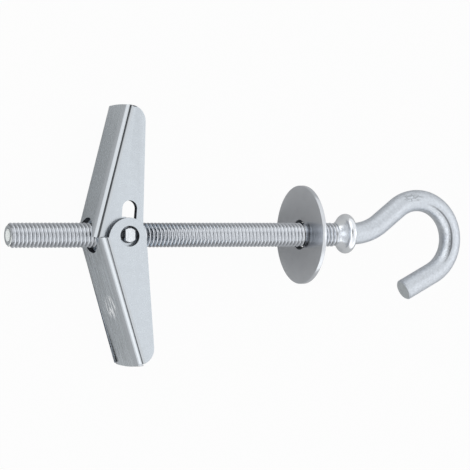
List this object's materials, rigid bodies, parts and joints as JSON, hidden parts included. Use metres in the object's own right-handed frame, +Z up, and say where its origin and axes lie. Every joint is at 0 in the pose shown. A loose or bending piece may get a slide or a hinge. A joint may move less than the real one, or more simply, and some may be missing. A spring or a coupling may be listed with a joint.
{
  "type": "spring toggle bolt",
  "caption": "Threaded rod ending in an open hook, with a loose washer and a sprung toggle: folding sheet-metal wings on a trunnion nut, which open behind a hollow wall.",
  "frame": {"origin": "under the middle of the part's box, on the surface that it lies on", "axes": "+X along the bolt, from the thread's tip to the hook; +Y across the bolt, towards the inner wing; +Z up, roughly along the toggle's pivot"},
  "size_m": [0.101, 0.0512, 0.02],
  "materials": {
    "bolt_zinc": "bright zinc plating over rolled and bent wire",
    "washer_zinc": "dull zinc plating over stamped sheet",
    "nut_zinc": "bright zinc plating over a turned bar",
    "inner_sheet_zinc": "bright zinc plating over folded sheet",
    "outer_sheet_zinc": "bright zinc plating over folded sheet",
    "spring_steel": "plain drawn wire"
  },
  "bodies": {
    "bolt": {"hook_bolt": "bolt_zinc"},
    "washer": {"washer": "washer_zinc"},
    "nut": {"trunnion_nut": "nut_zinc", "torsion_spring": "spring_steel"},
    "inner_wing": {"inner_wing": "inner_sheet_zinc"},
    "outer_wing": {"outer_wing": "outer_sheet_zinc"}
  },
  "joints": [
    {"name": "toggle_travel", "type": "slide", "parent": "bolt", "child": "nut", "axis": [0.9962, 0, 0.087], "range_m": [-0.014, 0.01]},
    {"name": "washer_slide", "type": "slide", "parent": "bolt", "child": "washer", "axis": [0.9962, 0, 0.087], "range_m": [-0.003, 0.0074]},
    {"name": "inner_wing_fold", "type": "hinge", "parent": "nut", "child": "inner_wing", "pos_m": [-0.02764, 0.0001, 0.00646], "axis": [0.0869, 0.0272, -0.9958], "range_deg": [0, 80], "stiffness_Nm_per_rad": 0.02, "springref_deg": -34.38, "deforming": ["torsion_spring"]},
    {"name": "outer_wing_fold", "type": "hinge", "parent": "nut", "child": "outer_wing", "pos_m": [-0.02775, -0.0001, 0.00645], "axis": [-0.0869, -0.0272, 0.9958], "range_deg": [0, 76], "stiffness_Nm_per_rad": 0.02, "springref_deg": -34.38, "deforming": ["torsion_spring"]}
  ]
}
